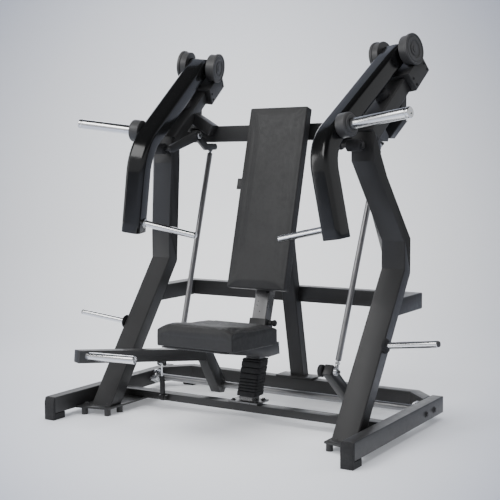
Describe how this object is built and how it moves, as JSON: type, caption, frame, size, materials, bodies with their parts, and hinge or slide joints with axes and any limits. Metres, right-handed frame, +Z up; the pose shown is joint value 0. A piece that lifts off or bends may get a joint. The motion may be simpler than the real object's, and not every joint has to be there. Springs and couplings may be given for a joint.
{
  "type": "chest press machine",
  "caption": "Plate-loaded seated chest press: two independent converging arms on tilted top pivots, padded seat and backrest, and a foot pedal that lifts the arms for the start.",
  "frame": {"origin": "centre of the machine's footprint at floor level, under the middle of its bounding box", "axes": "+Z up, the user sits facing -Y, +X is the user's left and the object's left"},
  "size_m": [2.022, 1.151, 1.8637],
  "materials": {
    "frame_paint": "fine-textured charcoal powder coat",
    "arm_paint": "gloss black paint",
    "chrome": "polished chrome",
    "rod_steel": "dark satin steel",
    "zinc": "bright zinc plate",
    "rubber": "matt black moulded rubber",
    "cap_plastic": "satin dark grey moulding",
    "upholstery": "charcoal grained upholstery vinyl",
    "board": "black painted plywood board"
  },
  "bodies": {
    "frame": {"left_side_rail": "frame_paint", "right_side_rail": "frame_paint", "left_front_foot": "rubber", "right_front_foot": "rubber", "left_rear_foot": "rubber", "right_rear_foot": "rubber", "rear_crossbar": "frame_paint", "front_crossbar": "frame_paint", "left_upright": "frame_paint", "right_upright": "frame_paint", "left_storage_horn": "chrome", "right_storage_horn": "chrome", "upper_crossbeam": "frame_paint", "mid_crossbeam": "frame_paint", "front_post": "frame_paint", "rear_post": "frame_paint", "post_bellows": "rubber", "left_pivot_block": "frame_paint", "right_pivot_block": "frame_paint", "left_outer_pivot_cap": "cap_plastic", "right_outer_pivot_cap": "cap_plastic", "left_inner_pivot_cap": "cap_plastic", "right_inner_pivot_cap": "cap_plastic", "left_pivot_axle": "zinc", "right_pivot_axle": "zinc", "left_arm_rest_stop": "rubber", "right_arm_rest_stop": "rubber", "left_shaft_bearing": "zinc", "right_shaft_bearing": "zinc", "backrest_bracket": "frame_paint", "backrest_board": "board", "backrest_pad": "upholstery"},
    "left_arm": {"left_press_arm": "arm_paint", "left_plate_horn_collar": "cap_plastic", "left_plate_horn": "chrome", "left_handle": "chrome"},
    "right_arm": {"right_press_arm": "arm_paint", "right_plate_horn_collar": "cap_plastic", "right_plate_horn": "chrome", "right_handle": "chrome"},
    "pedal": {"pedal_shaft": "rod_steel", "pedal_lever": "frame_paint", "foot_bar": "chrome", "left_crank": "frame_paint", "crank_bumper": "rubber"},
    "left_rod": {"left_connecting_rod": "rod_steel", "left_lower_rod_end": "zinc", "left_upper_rod_end": "zinc"},
    "right_rod": {"right_connecting_rod": "rod_steel", "right_lower_rod_end": "zinc", "right_upper_rod_end": "zinc"},
    "left_lift": {"left_lift_lever": "frame_paint"},
    "left_roller": {"left_lift_roller": "rubber"},
    "right_lift": {"right_lift_lever": "frame_paint"},
    "right_roller": {"right_lift_roller": "rubber"},
    "damper_body": {"damper_cylinder": "rubber"},
    "damper_plunger": {"damper_rod": "chrome"},
    "seat": {"seat_carriage": "frame_paint", "seat_pad": "upholstery"},
    "seat_pin": {"seat_pull_pin": "rubber"}
  },
  "joints": [
    {"name": "left_arm_pivot", "type": "hinge", "parent": "frame", "child": "left_arm", "pos_m": [0.575, 0.4205, 1.773], "axis": [-0.9764, 0.1722, -0.1305], "range_deg": [0, 42]},
    {"name": "right_arm_pivot", "type": "hinge", "parent": "frame", "child": "right_arm", "pos_m": [-0.575, 0.4205, 1.773], "axis": [-0.9764, -0.1722, 0.1305], "range_deg": [0, 42]},
    {"name": "pedal_pivot", "type": "hinge", "parent": "frame", "child": "pedal", "pos_m": [0, 0.2515, 0.076], "axis": [1, 0, 0], "range_deg": [0, 7.5], "stiffness_Nm_per_rad": 350, "springref_deg": -28.65},
    {"name": "left_rod_pivot", "type": "hinge", "parent": "pedal", "child": "left_rod", "pos_m": [0.454, 0.0235, 0.263], "axis": [1, 0, 0], "range_deg": [-8.2, 0.2]},
    {"name": "left_lift_pivot", "type": "hinge", "parent": "frame", "child": "left_lift", "pos_m": [0.478, 0.2405, 1.396], "axis": [1, 0, 0], "range_deg": [-13, 0.2]},
    {"name": "left_roller_spin", "type": "hinge", "parent": "left_lift", "child": "left_roller", "pos_m": [0.553, 0.0105, 1.322], "axis": [1, 0, 0], "continuous": true},
    {"name": "right_rod_pivot", "type": "hinge", "parent": "pedal", "child": "right_rod", "pos_m": [-0.454, 0.0235, 0.263], "axis": [1, 0, 0], "range_deg": [-8.2, 0.2]},
    {"name": "right_lift_pivot", "type": "hinge", "parent": "frame", "child": "right_lift", "pos_m": [-0.478, 0.2405, 1.396], "axis": [1, 0, 0], "range_deg": [-13, 0.2]},
    {"name": "right_roller_spin", "type": "hinge", "parent": "right_lift", "child": "right_roller", "pos_m": [-0.553, 0.0105, 1.322], "axis": [1, 0, 0], "continuous": true},
    {"name": "damper_pivot", "type": "hinge", "parent": "frame", "child": "damper_body", "pos_m": [-0.463, -0.1095, 0.062], "axis": [1, 0, 0], "range_deg": [-0.2, 9]},
    {"name": "damper_stroke", "type": "slide", "parent": "damper_body", "child": "damper_plunger", "axis": [0, -0.0345, 0.9994], "range_m": [-0.0485, 0.0005]},
    {"name": "seat_height", "type": "slide", "parent": "frame", "child": "seat", "axis": [0, 0.2987, 0.9543], "range_m": [0, 0.115], "deforming": ["post_bellows"]},
    {"name": "seat_pin_pull", "type": "slide", "parent": "seat", "child": "seat_pin", "axis": [1, 0, 0], "range_m": [0, 0.01], "stiffness_N_per_m": 900, "springref_m": -0.004}
  ],
  "couplings": [
    {"joint": "left_rod_pivot", "follows": "pedal_pivot", "ratio": -1.055},
    {"joint": "left_lift_pivot", "follows": "pedal_pivot", "ratio": -1.645},
    {"joint": "right_rod_pivot", "follows": "pedal_pivot", "ratio": -1.055},
    {"joint": "right_lift_pivot", "follows": "pedal_pivot", "ratio": -1.645},
    {"joint": "damper_pivot", "follows": "pedal_pivot", "ratio": 1.12},
    {"joint": "damper_stroke", "follows": "pedal_pivot", "m_per_rad": -0.3605}
  ]
}
